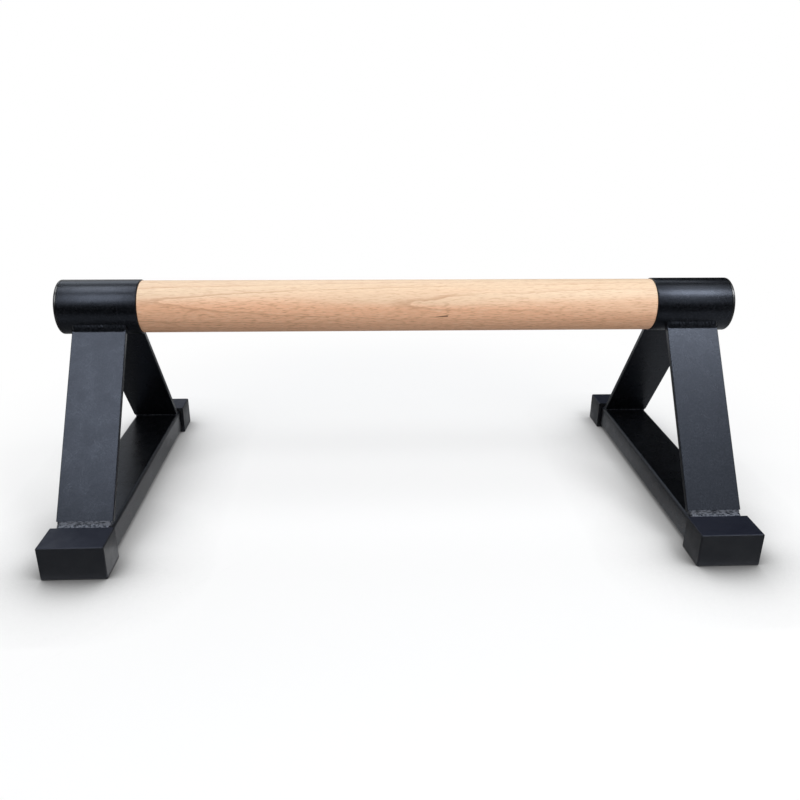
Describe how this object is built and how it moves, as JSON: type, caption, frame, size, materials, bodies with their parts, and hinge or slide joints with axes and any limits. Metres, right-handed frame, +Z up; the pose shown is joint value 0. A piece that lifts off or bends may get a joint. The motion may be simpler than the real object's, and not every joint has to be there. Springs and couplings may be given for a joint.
{
  "type": "parallette bar",
  "caption": "Low free-standing parallette bar: round beech grip held in black steel sleeves, on welded A-shaped legs with base rails and slip-over foot caps.",
  "frame": {"origin": "on the floor, under the middle of the grip", "axes": "+X along the grip, +Y from the front feet to the rear feet, +Z up"},
  "size_m": [0.65, 0.3414, 0.2205],
  "materials": {
    "beech": "sanded and oiled, matt",
    "powder_coat": "satin black powder coat with fine orange peel",
    "foot_cap": "matt black moulded cap",
    "end_plug": "satin black moulded plug",
    "glue": "cured glue, hidden"
  },
  "bodies": {
    "root": {"wooden_handle": "beech", "left_sleeve": "powder_coat", "left_base_rail": "powder_coat", "left_end_plug": "end_plug", "left_handle_bond": "glue", "right_sleeve": "powder_coat", "right_base_rail": "powder_coat", "right_end_plug": "end_plug", "right_handle_bond": "glue", "left_front_strut": "powder_coat", "left_front_foot_weld": "powder_coat", "left_front_sleeve_weld": "powder_coat", "left_front_foot_cap": "foot_cap", "left_rear_strut": "powder_coat", "left_rear_foot_weld": "powder_coat", "left_rear_sleeve_weld": "powder_coat", "left_rear_foot_cap": "foot_cap", "right_front_strut": "powder_coat", "right_front_foot_weld": "powder_coat", "right_front_sleeve_weld": "powder_coat", "right_front_foot_cap": "foot_cap", "right_rear_strut": "powder_coat", "right_rear_foot_weld": "powder_coat", "right_rear_sleeve_weld": "powder_coat", "right_rear_foot_cap": "foot_cap"}
  },
  "joints": []
}
